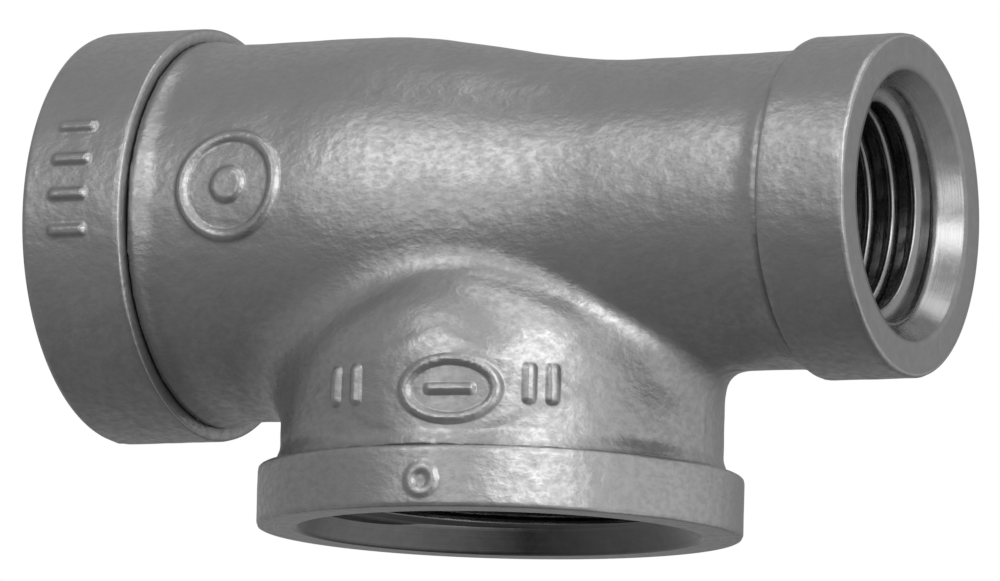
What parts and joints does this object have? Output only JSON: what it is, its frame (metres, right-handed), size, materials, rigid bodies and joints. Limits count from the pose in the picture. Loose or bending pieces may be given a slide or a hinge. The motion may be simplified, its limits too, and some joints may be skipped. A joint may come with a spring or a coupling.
{
  "type": "reducing pipe tee fitting",
  "caption": "Cast reducing pipe tee: a straight run with a large and a small internally threaded port, and a wider threaded branch at right angles.",
  "frame": {"origin": "centre of the branch mouth, in the plane of its face, which the tee stands on", "axes": "+X along the run axis towards the small port, +Z along the branch axis from its mouth up to the run, -Y is the marked front"},
  "size_m": [0.0794, 0.0439, 0.0472],
  "materials": {
    "cast_skin": "galvanised sand-cast skin, satin with fine grain",
    "machined_iron": "machined and thread-cut, bright and smooth"
  },
  "bodies": {
    "root": {"tee_body": "cast_skin", "large_run_band": "cast_skin", "small_run_band": "cast_skin", "branch_band": "cast_skin", "large_run_thread": "machined_iron", "small_run_thread": "machined_iron", "branch_thread": "machined_iron"}
  },
  "joints": []
}
